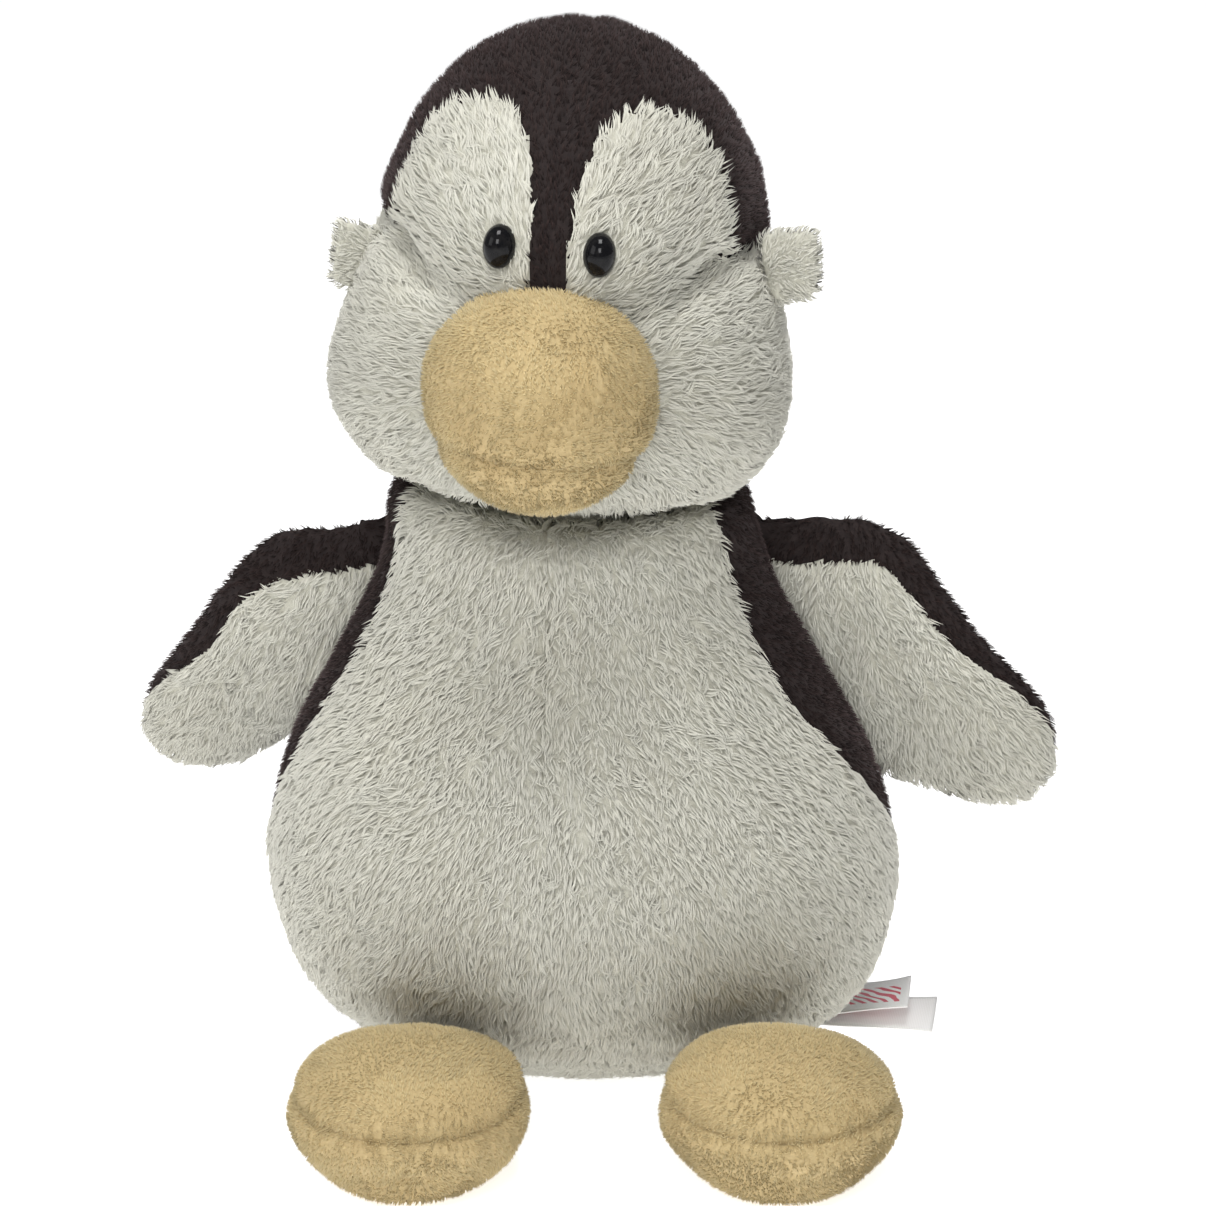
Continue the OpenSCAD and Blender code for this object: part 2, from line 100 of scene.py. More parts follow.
def soft_light(name, place, aim_at, size, watts):
    """A square studio light that faces a point."""
    data = bpy.data.lights.new(name, "AREA")
    data.size = size
    data.energy = watts
    light = bpy.data.objects.new(name, data)
    light.location = place
    light.rotation_euler = (Vector(aim_at) - Vector(place)).to_track_quat("-Z", "Y").to_euler()
    scene.collection.objects.link(light)


def light_studio():
    middle = (0, 0, 0.12)
    soft_light("front_light", (-0.1, -1.3, 0.9), middle, 0.5, 8)
    soft_light("left_light", (-1.2, -0.6, 0.8), middle, 0.8, 4)
    soft_light("top_light", (0.0, -0.35, 1.4), middle, 0.5, 12)
    soft_light("back_light", (0.4, 1.1, 0.7), middle, 0.8, 2.5)
    world = bpy.data.worlds.new("studio")
    scene.world = world
    world.use_nodes = True
    background = world.node_tree.nodes["Background"]
    background.inputs["Color"].default_value = (1, 1, 1, 1)
    background.inputs["Strength"].default_value = 0.27
    scene.view_settings.view_transform = "Standard"


def lay_floor(finish):
    """A level sheet of pale paper that reaches far past the view."""
    deselect()
    bpy.ops.mesh.primitive_plane_add(size=60)
    floor = bpy.context.active_object
    floor.name = "paper_floor"
    floor.data.materials.append(finish)


# ---- small helpers ----


def deselect():
    for obj in bpy.context.selected_objects:
        obj.select_set(False)


def select_only(obj):
    deselect()
    obj.select_set(True)
    bpy.context.view_layer.objects.active = obj


def apply_modifier(obj, modifier):
    select_only(obj)
    bpy.ops.object.modifier_apply(modifier=modifier.name)


def read_points(mesh):
    flat = np.empty(len(mesh.vertices) * 3, np.float32)
    mesh.vertices.foreach_get("co", flat)
    return flat.reshape(-1, 3).astype(float)


def write_points(mesh, points):
    mesh.vertices.foreach_set("co", np.asarray(points, np.float32).ravel())
    mesh.update()


def read_normals(mesh):
    flat = np.empty(len(mesh.vertices) * 3, np.float32)
    mesh.vertices.foreach_get("normal", flat)
    return flat.reshape(-1, 3).astype(float)


def read_triangles(mesh):
    mesh.calc_loop_triangles()
    flat = np.empty(len(mesh.loop_triangles) * 3, np.int32)
    mesh.loop_triangles.foreach_get("vertices", flat)
    return flat.reshape(-1, 3)


def keep_vectors(mesh, name, vectors):
    attribute = mesh.attributes.new(name, "FLOAT_VECTOR", "POINT")
    attribute.data.foreach_set("vector", np.asarray(vectors, np.float32).ravel())


def read_vectors(mesh, name):
    flat = np.empty(len(mesh.vertices) * 3, np.float32)
    mesh.attributes[name].data.foreach_get("vector", flat)
    return flat.reshape(-1, 3).astype(float)


def new_object(name, mesh):
    obj = bpy.data.objects.new(name, mesh)
    scene.collection.objects.link(obj)
    return obj


def unit(vectors):
    length = np.linalg.norm(vectors, axis=-1, keepdims=True)
    return vectors / np.maximum(length, 1e-12)


def ease(values, start, end):
    """0 before start and 1 after end, smoothly."""
    share = np.clip((values - start) / (end - start), 0, 1)
    return share * share * (3 - 2 * share)


def noise_at(points, size, seed):
    """Smooth noise from about -1 to 1 at each point; size is the width of its lumps in metres."""
    offset = Vector((seed * 7.31, seed * 3.17, seed * 5.53))
    return np.array([noise.noise(Vector(p) / size + offset) for p in points])


def noise_vectors(points, size, seed):
    offset = Vector((seed * 7.31, seed * 3.17, seed * 5.53))
    return np.array([noise.noise_vector(Vector(p) / size + offset) for p in points])


def in_head(points):
    """Points in the head's own frame, before its turn and tilt."""
    turn = Matrix.Rotation(HEAD_TILT, 3, "Y") @ Matrix.Rotation(HEAD_TURN, 3, "Z")
    return (points - HEAD_CENTRE) @ np.array(turn)


def from_head(points):
    turn = Matrix.Rotation(HEAD_TILT, 3, "Y") @ Matrix.Rotation(HEAD_TURN, 3, "Z")
    return points @ np.array(turn).T + HEAD_CENTRE


# ---- stuffed forms ----


def joined_copy(name, node_names):
    """One new mesh with a copy of each node, its loose triangles merged."""
    joined = bmesh.new()
    for node in node_names:
        joined.from_mesh(nodes[node].data)
    bmesh.ops.remove_doubles(joined, verts=joined.verts, dist=0.001 * MM)
    mesh = bpy.data.meshes.new(name)
    joined.to_mesh(mesh)
    joined.free()
    return new_object(name, mesh)


def hull_copy(name, node_names):
    """The closed skin stretched round the nodes, for a part that bulges everywhere."""
    obj = joined_copy(name, node_names)
    skin = bmesh.new()
    skin.from_mesh(obj.data)
    hull = bmesh.ops.convex_hull(skin, input=skin.verts)
    inside = [part for part in hull["geom_interior"] if isinstance(part, bmesh.types.BMVert)]
    bmesh.ops.delete(skin, geom=inside, context="VERTS")
    loose = [face for face in skin.faces if face not in set(hull["geom"])]
    bmesh.ops.delete(skin, geom=loose, context="FACES")
    skin.to_mesh(obj.data)
    skin.free()
    return obj


def ball_copy(name, node_names):
    """A ball drawn in to the nodes' outer faces; it closes the head's beak and neck openings smoothly."""
    far = 0.12
    smoothing_rounds = 160
    deselect()
    bpy.ops.mesh.primitive_ico_sphere_add(subdivisions=5, radius=1)
    obj = bpy.context.active_object
    obj.name = name
    ways = unit(read_points(obj.data))
    trees = trees_of(node_names)
    reach = np.full(len(ways), np.nan)
    for index, way in enumerate(ways):
        start = Vector(HEAD_CENTRE + way * far)
        for tree in trees:
            hit = tree.ray_cast(start, Vector(-way), far * 0.75)[3]
            if hit is not None:
                reach[index] = np.nanmax((reach[index], far - hit))
    links = np.array([edge.vertices[:] for edge in obj.data.edges])
    links = np.concatenate((links, links[:, ::-1]))
    open_points = np.isnan(reach)
    for _ in range(smoothing_rounds):
        known = ~np.isnan(reach[links[:, 1]])
        total = np.bincount(links[known, 0], reach[links[known, 1]], len(reach))
        count = np.bincount(links[known, 0], minlength=len(reach))
        fill = open_points & (count > 0)
        reach[fill] = total[fill] / count[fill]
    write_points(obj.data, HEAD_CENTRE + ways * reach[:, None])
    return obj


def remesh(obj, voxel):
    modifier = obj.modifiers.new("voxels", "REMESH")
    modifier.mode = "VOXEL"
    modifier.voxel_size = voxel
    apply_modifier(obj, modifier)


def keep_outer_shell(obj):
    """Deletes every loose part but the largest."""
    shell = bmesh.new()
    shell.from_mesh(obj.data)
    shell.verts.ensure_lookup_table()
    seen = set()
    parts = []
    for start in shell.verts:
        if start in seen:
            continue
        seen.add(start)
        part = [start]
        for vert in part:
            for edge in vert.link_edges:
                other = edge.other_vert(vert)
                if other not in seen:
                    seen.add(other)
                    part.append(other)
        parts.append(part)
    largest = max(parts, key=len)
    spare = [vert for part in parts if part is not largest for vert in part]
    bmesh.ops.delete(shell, geom=spare, context="VERTS")
    shell.to_mesh(obj.data)
    shell.free()


def trees_of(node_names):
    trees = []
    for node in node_names:
        mesh = nodes[node].data
        points = [tuple(v.co) for v in mesh.vertices]
        faces = [tuple(p.vertices) for p in mesh.polygons]
        trees.append(BVHTree.FromPolygons(points, faces))
    return trees


def distances(points, trees):
    """Distance of every point to each tree, one column each."""
    table = np.empty((len(points), len(trees)))
    for column, tree in enumerate(trees):
        table[:, column] = [tree.find_nearest(Vector(p))[3] for p in points]
    if len(trees) == 1:
        table = np.hstack((table, np.ones((len(points), 1))))
    return table


def puff(obj, held, cap):
    """Blows the closed form up a little, as stuffing does, with its seams held, and caps the travel."""
    drawn = read_points(obj.data)
    seams = obj.vertex_groups.new(name="seams")
    for index in np.flatnonzero(held > 0.05):
        seams.add([int(index)], float(held[index]), "REPLACE")
    cloth = obj.modifiers.new("stuffed", "CLOTH")
    cloth.settings.use_pressure = True
    cloth.settings.uniform_pressure_force = INFLATING_PRESSURE
    cloth.settings.vertex_group_mass = "seams"
    cloth.settings.effector_weights.gravity = 0
    cloth.collision_settings.use_collision = False
    cloth.point_cache.frame_start = 1
    cloth.point_cache.frame_end = INFLATING_FRAMES
    for number in range(1, INFLATING_FRAMES + 1):
        scene.frame_set(number)
    apply_modifier(obj, cloth)
    scene.frame_set(1)
    obj.vertex_groups.clear()
    travel = read_points(obj.data) - drawn
    length = np.linalg.norm(travel, axis=1, keepdims=True)
    write_points(obj.data, drawn + travel * np.minimum(1, cap / np.maximum(length, 1e-9)))


def subdivide(obj, levels):
    modifier = obj.modifiers.new("finer", "SUBSURF")
    modifier.levels = levels
    modifier.render_levels = levels
    apply_modifier(obj, modifier)


class Stuffed:
    """A closed stuffed form with its seams.

    obj is the form, drawn is where each point was before it was stuffed, gaps is its distance to
    each panel there, and free is how far it may move: 0 is held and 1 is free.
    """

    def __init__(self, name, panels, start, voxel, levels, rises, cap, freedom, grooves):
        self.panels = panels
        self.name = name
        self.obj = start
        self.trees = trees_of(panels)
        remesh(self.obj, voxel)
        keep_outer_shell(self.obj)
        drawn = read_points(self.obj.data)
        normals = read_normals(self.obj.data)
        gaps = distances(drawn, self.trees)
        free = freedom(drawn)
        weights = np.exp(-(gaps - gaps.min(1, keepdims=True)) / (2.5 * MM))[:, : len(rises)]
        rise = (weights * np.array(rises)).sum(1) / weights.sum(1)
        ordered = np.sort(gaps, axis=1)
        seam_gap = ordered[:, 1] - ordered[:, 0]
        held = np.maximum(1 - ease(seam_gap, 3 * MM, 9 * MM), 1 - free)
        inset = (rise + 0.15 * cap * (1 - held)) * free
        write_points(self.obj.data, drawn - normals * inset[:, None])
        puff(self.obj, held, cap)
        keep_vectors(self.obj.data, "drawn", drawn)
        subdivide(self.obj, levels)
        self.drawn = read_vectors(self.obj.data, "drawn")
        self.free = freedom(self.drawn)
        self.gaps = distances(self.drawn, self.trees)
        self.press_seams(grooves)

    def press_seams(self, grooves):
        """Draws the cloth in along each seam, with small puckers, and dents the form softly."""
        points = read_points(self.obj.data)
        normals = read_normals(self.obj.data)
        order = np.argsort(self.gaps, axis=1)
        first = order[:, 0]
        second = order[:, 1]
        rows = np.arange(len(points))
        across = self.gaps[rows, second] - self.gaps[rows, first]
        pucker = noise_at(self.drawn, 5 * MM, 3)
        depth = np.zeros(len(points))
        for index in np.flatnonzero(across < 16 * MM):
            pair = frozenset((self.panels[first[index]], self.panels[second[index]]))
            deep, wide = grooves.get(pair, (1.0 * MM, 1.8 * MM))
            share = math.exp(-(across[index] / (2 * wide)) ** 2)
            depth[index] = deep * share * (1 + 0.35 * pucker[index])
        lift = (1 - self.free) * 1.1 * MM
        dents = 0.9 * MM * noise_at(self.drawn, 24 * MM, 5) + 0.35 * MM * noise_at(self.drawn, 9 * MM, 6)
        move = (dents - depth) * self.free + lift
        points = points + normals * move[:, None]
        points[:, 2] = self.rest_on_floor(points[:, 2])
        write_points(self.obj.data, points)

    def rest_on_floor(self, height):
        """Lets the form spread flat on the floor where it was drawn flat."""
        near = 1 - ease(self.drawn[:, 2], 0.5 * MM, 7 * MM)
        height = height * (1 - near) + np.minimum(height, self.drawn[:, 2] + FLOOR_CLEAR) * near
        return np.maximum(height, FLOOR_CLEAR)

    def move(self, change):
        """Reshapes the form: change(points, normals, drawn) gives the new points."""
        points = read_points(self.obj.data)
        points = change(points, read_normals(self.obj.data), self.drawn)
        points[:, 2] = self.rest_on_floor(points[:, 2])
        write_points(self.obj.data, points)

    def face_panels(self, corners):
        """The panel that each face belongs to, from its corners' distances."""
        return self.gaps[corners].mean(1).argmin(1)


def cut_panel(form, panel, name, finish, attach, thick=CLOTH_THICKNESS):
    """Cuts one panel's cloth out of a stuffed form and gives it a thickness inwards."""
    number = form.panels.index(panel)
    cloth = bmesh.new()
    cloth.from_mesh(form.obj.data)
    cloth.faces.ensure_lookup_table()
    corners = np.array([[v.index for v in f.verts][:4] for f in cloth.faces])
    owner = form.face_panels(corners)
    spare = [f for f, panel_number in zip(cloth.faces, owner) if panel_number != number]
    bmesh.ops.delete(cloth, geom=spare, context="FACES")
    mesh = bpy.data.meshes.new(name)
    cloth.to_mesh(mesh)
    cloth.free()
    obj = new_object(name, mesh)
    walls = obj.modifiers.new("cloth_thickness", "SOLIDIFY")
    walls.thickness = thick
    walls.offset = -1
    apply_modifier(obj, walls)
    bpy.ops.object.shade_smooth()
    mesh.materials.append(finish)
    attach(obj)
    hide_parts(panel)
    return obj


def stuff(form, name, finish, attach, stuffing_nodes, floor_cut=None, scale=None):
    """The filling: the same closed form a cloth's thickness smaller, or scaled where the form is thin."""
    mesh = form.obj.data.copy()
    obj = new_object(name, mesh)
    points = read_points(mesh)
    if scale is None:
        points = points - read_normals(mesh) * 2.4 * MM
    else:
        points = points.mean(0) + (points - points.mean(0)) * scale
    points[:, 2] = np.maximum(points[:, 2], 2 * MM)
    write_points(mesh, points)
    if floor_cut is not None:
        select_only(obj)
        bpy.ops.object.mode_set(mode="EDIT")
        bpy.ops.mesh.select_all(action="SELECT")
        bpy.ops.mesh.bisect(
            plane_co=(0, 0, floor_cut), plane_no=(0, 0, 1), use_fill=True, clear_inner=True
        )
        bpy.ops.object.mode_set(mode="OBJECT")
    select_only(obj)
    bpy.ops.object.shade_smooth()
    mesh.materials.clear()
    mesh.materials.append(finish)
    attach(obj)
    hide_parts(*stuffing_nodes)
    return obj


# ---- pile ----


def scatter(points, triangles, per_square_mm, random):
    """Random places on a mesh: the triangle of each, and its shares of the three corners."""
    a, b, c = (points[triangles[:, k]] for k in range(3))
    area = np.linalg.norm(np.cross(b - a, c - a), axis=1) / 2
    total = int(area.sum() / MM ** 2 * per_square_mm)
    chosen = np.searchsorted(np.cumsum(area), random.random(total) * area.sum())
    chosen = np.minimum(chosen, len(area) - 1)
    first = np.sqrt(random.random(total))
    second = random.random(total)
    shares = np.stack((1 - first, first * (1 - second), first * second), axis=1)
    return chosen, shares


def nearest_lock(roots, locks):
    tree = KDTree(len(locks))
    for index, place in enumerate(locks):
        tree.insert(place, index)
    tree.balance()
    return np.array([tree.find(place)[1] for place in roots])


def strand_mesh(name, rings, tip, out, reach, tone):
    """Closed three-sided strands: rings of three points each from the root up, and a tip."""
    count = len(tip)
    levels = len(rings)
    per = levels * 3 + 1
    points = np.concatenate(rings + [tip[:, None, :]], axis=1).reshape(-1, 3)
    faces = [(0, 2, 1)]
    for level in range(levels - 1):
        for side in range(3):
            low = level * 3 + side
            low_next = level * 3 + (side + 1) % 3
            faces.append((low, low_next, low_next + 3))
            faces.append((low, low_next + 3, low + 3))
    last = (levels - 1) * 3
    for side in range(3):
        faces.append((last + side, last + (side + 1) % 3, per - 1))
    faces = np.array(faces, np.int32)
    starts = (np.arange(count, dtype=np.int32) * per)[:, None, None]
    triangles = (faces[None] + starts).reshape(-1, 3)
    mesh = bpy.data.meshes.new(name)
    mesh.vertices.add(len(points))
    mesh.vertices.foreach_set("co", points.astype(np.float32).ravel())
    mesh.loops.add(triangles.size)
    mesh.loops.foreach_set("vertex_index", triangles.ravel())
    mesh.polygons.add(len(triangles))
    mesh.polygons.foreach_set("loop_start", np.arange(0, triangles.size, 3, dtype=np.int32))
    mesh.update(calc_edges=True)
    mesh.shade_smooth()
    own = read_normals(mesh)
    leaning = unit(own + np.repeat(out, per, axis=0))
    mesh.normals_split_custom_set_from_vertices(leaning)
    # reach is 0 at the root and 1 at the tip; the pile materials use it to darken the roots as painted
    # shade.
    along = np.tile(np.repeat(np.array(list(reach) + [1.0]), [3] * levels + [1]), count)
    kept = mesh.attributes.new("reach", "FLOAT", "POINT")
    kept.data.foreach_set("value", along.astype(np.float32))
    kept = mesh.attributes.new("tone", "FLOAT", "POINT")
    kept.data.foreach_set("value", np.repeat(tone, per).astype(np.float32))
    return new_object(name, mesh)


class Pile:
    """How one kind of plush stands.

    length and width are a strand's, in metres; density is strands per square millimetre; lean is
    in degrees from upright; locks is the share of strands that lead a lock, and gather how far the
    others are drawn to their leader's tip; wild is how much the lay wanders; segments is 1 or 2;
    own is the share of a strand's own roundness in its shading.
    """

    def __init__(self, length, width, density, lean, locks, gather, wild, segments, own):
        self.length = length
        self.width = width
        self.density = density
        self.lean = math.radians(lean)
        self.locks = locks
        self.gather = gather
        self.wild = wild
        self.segments = segments
        self.own = own


LONG_PILE = Pile(3.7 * MM, 0.44 * MM, 1.75, 62, 0.2, 0.38, 0.5, 2, 0.4)
TUFT_PILE = Pile(2.4 * MM, 0.40 * MM, 2.2, 62, 0.3, 0.3, 0.3, 2, 0.5)
SHORT_PILE = Pile(2.2 * MM, 0.38 * MM, 2.2, 56, 0.3, 0.45, 0.6, 1, 0.9)
LOOP_PILE = Pile(1.2 * MM, 0.55 * MM, 2.6, 35, 0.9, 0.3, 2.5, 1, 2.5)


def grow_pile(form, panel, name, kind, comb, finish, attach, seed, bare=None):
    """Grows one panel's pile out of a stuffed form, combed along comb(points)."""
    random = np.random.default_rng(seed)
    mesh = form.obj.data
    points = read_points(mesh)
    normals = read_normals(mesh)
    triangles = read_triangles(mesh)
    number = form.panels.index(panel)
    lead = form.gaps[:, number] - form.gaps.min(1)
    triangles = triangles[lead[triangles].min(1) < 0.5 * MM]
    density = kind.density * 1
    chosen, shares = scatter(points, triangles, density, random)
    corners = triangles[chosen]

    def at(values):
        weights = shares if values.ndim == 1 else shares[:, :, None]
        return (values[corners] * weights).sum(1)

    gaps = at(form.gaps)
    drawn = at(form.drawn)
    keep = (gaps.argmin(1) == number) & (drawn[:, 2] > 1.2 * MM)
    if bare is not None:
        keep &= ~bare(drawn)
    roots = at(points)[keep]
    out = unit(at(normals)[keep])
    drawn = drawn[keep]
    count = len(roots)
    lock_total = max(int(count * kind.locks), 1)
    picked = random.choice(count, lock_total, replace=False)
    lock = nearest_lock(roots, roots[picked])
    lay = comb(drawn) + kind.wild * noise_vectors(roots, 13 * MM, 11)
    lock_lay = lay[picked] + 0.45 * random.normal(size=(lock_total, 3))
    lay = lay + 0.30 * random.normal(size=(count, 3))
    lay = 0.5 * unit(lay) + 0.5 * unit(lock_lay)[lock]
    lay = unit(lay - out * (lay * out).sum(1, keepdims=True))
    lock_way = unit(lock_lay - out[picked] * (lock_lay * out[picked]).sum(1, keepdims=True))
    length = kind.length * (1 + 0.16 * random.normal(size=count))
    length = np.clip(length, 0.5 * kind.length, 1.4 * kind.length)
    lock_length = kind.length * (1 + 0.12 * random.normal(size=lock_total))
    rise = math.cos(kind.lean)
    run = math.sin(kind.lean)
    tip = roots + out * (length * rise)[:, None] + lay * (length * run)[:, None]
    lock_tip = roots[picked] + out[picked] * (lock_length * rise)[:, None]
    lock_tip = lock_tip + lock_way * (lock_length * run)[:, None]
    tip = tip * (1 - kind.gather) + lock_tip[lock] * kind.gather
    middle = roots + out * (length * 0.72 * rise)[:, None] + lay * (length * 0.34 * run)[:, None]
    middle = middle * 0.85 + (0.5 * roots + 0.5 * tip) * 0.15
    side = unit(np.cross(out, lay))
    front = np.cross(out, side)
    width = kind.width * (1 + 0.15 * random.normal(size=count))[:, None]
    turns = [math.radians(90 + 120 * k) for k in range(3)]
    root_ring = [
        roots - out * 0.3 * MM + (side * math.cos(t) + front * math.sin(t)) * width / 2 for t in turns
    ]
    rings = [np.stack(root_ring, axis=1)]
    reach = [0.0]
    if kind.segments == 2:
        ahead = unit(tip - roots)
        up = np.cross(ahead, side)
        middle_ring = [
            middle + (side * math.cos(t) + up * math.sin(t)) * width * 0.42 for t in turns
        ]
        rings.append(np.stack(middle_ring, axis=1))
        reach.append(0.5)
    for ring in rings:
        ring[:, :, 2] = np.maximum(ring[:, :, 2], FLOOR_CLEAR)
    tip[:, 2] = np.maximum(tip[:, 2], FLOOR_CLEAR)
    tone = 0.55 * random.random(lock_total)[lock] + 0.45 * random.random(count)
    obj = strand_mesh(name, rings, tip, out * (1 / kind.own), reach, tone)
    obj.data.materials.append(finish)
    attach(obj)
    return obj


# ---- materials ----


def start_material(name, roughness, sheen=0.0, sheen_tint=(1, 1, 1), specular=0.5):
    """A material with its Principled shader; returns the material, its node tree and the shader."""
    material = bpy.data.materials.new(name)
    material.use_nodes = True
    tree = material.node_tree
    shader = tree.nodes["Principled BSDF"]
    shader.inputs["Roughness"].default_value = roughness
    shader.inputs["Sheen Weight"].default_value = sheen
    shader.inputs["Sheen Tint"].default_value = (*sheen_tint, 1)
    shader.inputs["Sheen Roughness"].default_value = 0.45
    shader.inputs["Specular IOR Level"].default_value = specular
    return material, tree, shader


def add_node(tree, kind, **settings):
    node = tree.nodes.new(kind)
    for key, value in settings.items():
        setattr(node, key, value)
    return node


def noise_texture(tree, scale, detail=3, roughness=0.55):
    place = add_node(tree, "ShaderNodeTexCoord")
    texture = add_node(tree, "ShaderNodeTexNoise")
    texture.inputs["Scale"].default_value = scale
    texture.inputs["Detail"].default_value = detail
    texture.inputs["Roughness"].default_value = roughness
    tree.links.new(place.outputs["Object"], texture.inputs["Vector"])
    return texture


def ramp(tree, source, stops):
    """A colour ramp; stops are (position, colour)."""
    node = add_node(tree, "ShaderNodeValToRGB")
    elements = node.color_ramp.elements
    while len(elements) < len(stops):
        elements.new(0.5)
    for element, (position, colour) in zip(elements, stops):
        element.position = position
        element.color = (*colour, 1)
    tree.links.new(source, node.inputs["Fac"])
    return node.outputs["Color"]


def blotch_group():
    """Shared effect: darkens and tints a colour in soft blotches and from strand to strand."""
    group = bpy.data.node_groups.new("blotches", "ShaderNodeTree")
    group.interface.new_socket("Color", in_out="INPUT", socket_type="NodeSocketColor")
    group.interface.new_socket("Tint", in_out="INPUT", socket_type="NodeSocketColor")
    group.interface.new_socket("Amount", in_out="INPUT", socket_type="NodeSocketFloat")
    group.interface.new_socket("Tone", in_out="INPUT", socket_type="NodeSocketFloat")
    group.interface.new_socket("Tone Range", in_out="INPUT", socket_type="NodeSocketFloat")
    group.interface.new_socket("Color", in_out="OUTPUT", socket_type="NodeSocketColor")
    enter = add_node(group, "NodeGroupInput")
    leave = add_node(group, "NodeGroupOutput")
    large = noise_texture(group, 38, 3, 0.6)
    spread = add_node(group, "ShaderNodeMapRange")
    spread.inputs["From Min"].default_value = 0.42
    spread.inputs["From Max"].default_value = 0.68
    group.links.new(large.outputs["Fac"], spread.inputs["Value"])
    share = add_node(group, "ShaderNodeMath", operation="MULTIPLY")
    group.links.new(spread.outputs["Result"], share.inputs[0])
    group.links.new(enter.outputs["Amount"], share.inputs[1])
    tinted = add_node(group, "ShaderNodeMix", data_type="RGBA")
    group.links.new(share.outputs[0], tinted.inputs["Factor"])
    group.links.new(enter.outputs["Color"], tinted.inputs["A"])
    group.links.new(enter.outputs["Tint"], tinted.inputs["B"])
    centred = add_node(group, "ShaderNodeMath", operation="SUBTRACT")
    centred.inputs[1].default_value = 0.5
    group.links.new(enter.outputs["Tone"], centred.inputs[0])
    scaled = add_node(group, "ShaderNodeMath", operation="MULTIPLY_ADD")
    scaled.inputs[2].default_value = 1.0
    group.links.new(centred.outputs[0], scaled.inputs[0])
    group.links.new(enter.outputs["Tone Range"], scaled.inputs[1])
    toned = add_node(group, "ShaderNodeVectorMath", operation="SCALE")
    group.links.new(tinted.outputs["Result"], toned.inputs[0])
    group.links.new(scaled.outputs[0], toned.inputs["Scale"])
    group.links.new(toned.outputs[0], leave.inputs["Color"])
    return group


def blotched(tree, colour, tint, amount, tone, tone_range):
    node = add_node(tree, "ShaderNodeGroup", node_tree=BLOTCHES)
    node.inputs["Tint"].default_value = (*tint, 1)
    node.inputs["Amount"].default_value = amount
    node.inputs["Tone Range"].default_value = tone_range
    tree.links.new(colour, node.inputs["Color"])
    tree.links.new(tone, node.inputs["Tone"])
    return node.outputs["Color"]


def pile_material(name, root, middle, tip, tint, amount, tone_range, roughness, sheen, sheen_tint, specular):
    """Colour from root to tip along each strand, darker toward the root as painted shade deep in the pile,
    with lighter and darker locks and soft blotches.
    """
    material, tree, shader = start_material(name, roughness, sheen, sheen_tint, specular)
    reach = add_node(tree, "ShaderNodeAttribute", attribute_name="reach")
    tone = add_node(tree, "ShaderNodeAttribute", attribute_name="tone")
    # The ramp darkens each strand toward its root: painted shade deep in the pile.
    colour = ramp(tree, reach.outputs["Fac"], [(0.0, root), (0.5, middle), (1.0, tip)])
    colour = blotched(tree, colour, tint, amount, tone.outputs["Fac"], tone_range)
    tree.links.new(colour, shader.inputs["Base Color"])
    return material


def cloth_material(name, dark, light, tint, roughness, sheen, sheen_tint):
    """The backing under the pile: a fine knit in the colour of the pile's darker roots, which is painted
    shade under the pile, bumpy and uneven.
    """
    material, tree, shader = start_material(name, roughness, sheen, sheen_tint, 0.3)
    fine = noise_texture(tree, 900, 4, 0.65)
    colour = ramp(tree, fine.outputs["Fac"], [(0.3, dark), (0.7, light)])
    colour = blotched(tree, colour, tint, 0.4, fine.outputs["Fac"], 0.1)
    tree.links.new(colour, shader.inputs["Base Color"])
    bump = add_node(tree, "ShaderNodeBump")
    bump.inputs["Strength"].default_value = 0.5
    bump.inputs["Distance"].default_value = 0.4 * MM
    tree.links.new(fine.outputs["Fac"], bump.inputs["Height"])
    tree.links.new(bump.outputs["Normal"], shader.inputs["Normal"])
    return material


def plain_material(name, dark, light, scale, roughness, bump_mm, specular=0.5):
    """A hard or loose material with a speckle at one scale."""
    material, tree, shader = start_material(name, roughness, specular=specular)
    speckle = noise_texture(tree, scale, 3, 0.5)
    colour = ramp(tree, speckle.outputs["Fac"], [(0.35, dark), (0.65, light)])
    tree.links.new(colour, shader.inputs["Base Color"])
    bump = add_node(tree, "ShaderNodeBump")
    bump.inputs["Strength"].default_value = 0.4
    bump.inputs["Distance"].default_value = bump_mm * MM
    tree.links.new(speckle.outputs["Fac"], bump.inputs["Height"])
    tree.links.new(bump.outputs["Normal"], shader.inputs["Normal"])
    return material


BLOTCHES = blotch_group()

# Root, middle and tip colours: the darker roots and middles are painted shade deep in the pile.
CREAM_PILE = pile_material(
    "cream_pile",
    (0.52, 0.51, 0.44), (0.60, 0.59, 0.515), (0.66, 0.65, 0.575), (0.56, 0.54, 0.45),
    0.25, 0.16, 0.85, 0.25, (1, 0.99, 0.94), 0.25,
)
# The brown's lock tone, random from lock to lock, is spread wide, and its tips are much lighter than its
# roots: together they paint the velvet's sheen streaks as well as the painted shade at the roots.
BROWN_PILE = pile_material(
    "brown_pile",
    (0.006, 0.004, 0.004), (0.017, 0.011, 0.010), (0.040, 0.026, 0.024), (0.014, 0.008, 0.008),
    0.4, 1.3, 0.8, 0.12, (0.7, 0.55, 0.55), 0.12,
)
YELLOW_PILE = pile_material(
    "yellow_pile",
    (0.41, 0.31, 0.155), (0.51, 0.41, 0.22), (0.59, 0.49, 0.29), (0.47, 0.345, 0.17),
    0.18, 0.35, 0.9, 0.12, (1, 0.9, 0.65), 0.15,
)
